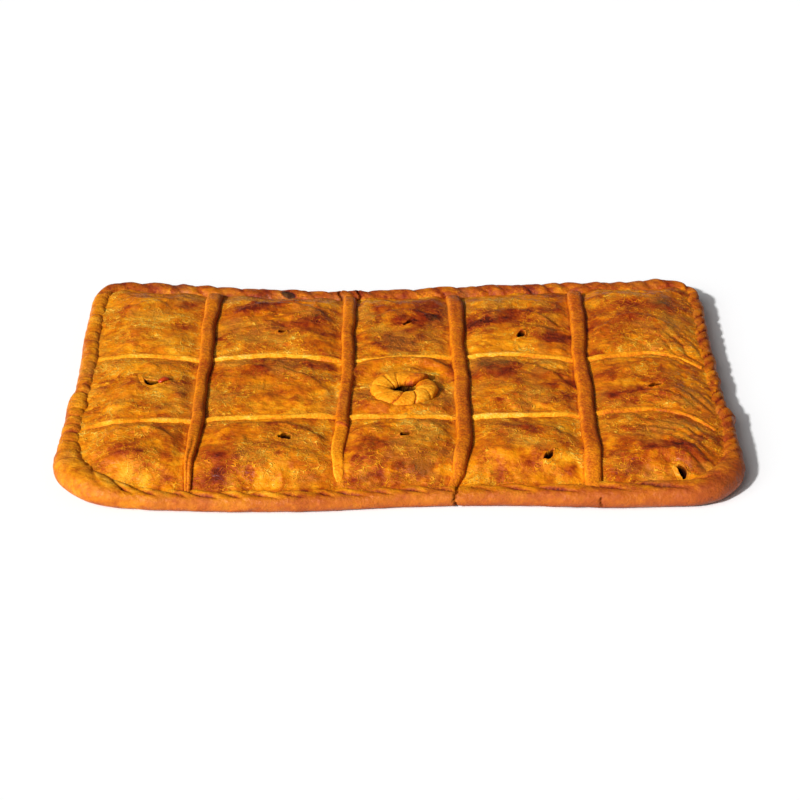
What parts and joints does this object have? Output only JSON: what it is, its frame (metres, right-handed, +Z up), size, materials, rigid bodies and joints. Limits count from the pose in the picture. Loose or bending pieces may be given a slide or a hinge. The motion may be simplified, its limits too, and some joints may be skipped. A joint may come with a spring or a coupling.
{
  "type": "empanada",
  "caption": "Whole rectangular tray empanada with a twisted rope rim, a lid quilted by dough strips and a dough ring round the steam vent.",
  "frame": {"origin": "on the surface the pie rests on, below the middle of its box", "axes": "+X along the long side, to the right as seen from the front; +Y to the back edge; +Z up"},
  "size_m": [0.5612, 0.3591, 0.0332],
  "materials": {
    "crust": "baked yellow dough, egg washed, browned in patches, with an uneven soft gloss",
    "strip": "baked dough strip, browner than the lid, egg washed, with an uneven soft gloss"
  },
  "bodies": {
    "root": {"pie": "crust", "cross_strip_1": "strip", "cross_strip_2": "strip", "cross_strip_3": "strip", "cross_strip_4": "strip", "long_strip_back": "strip", "long_strip_front": "strip", "vent_ring": "strip"}
  },
  "joints": []
}
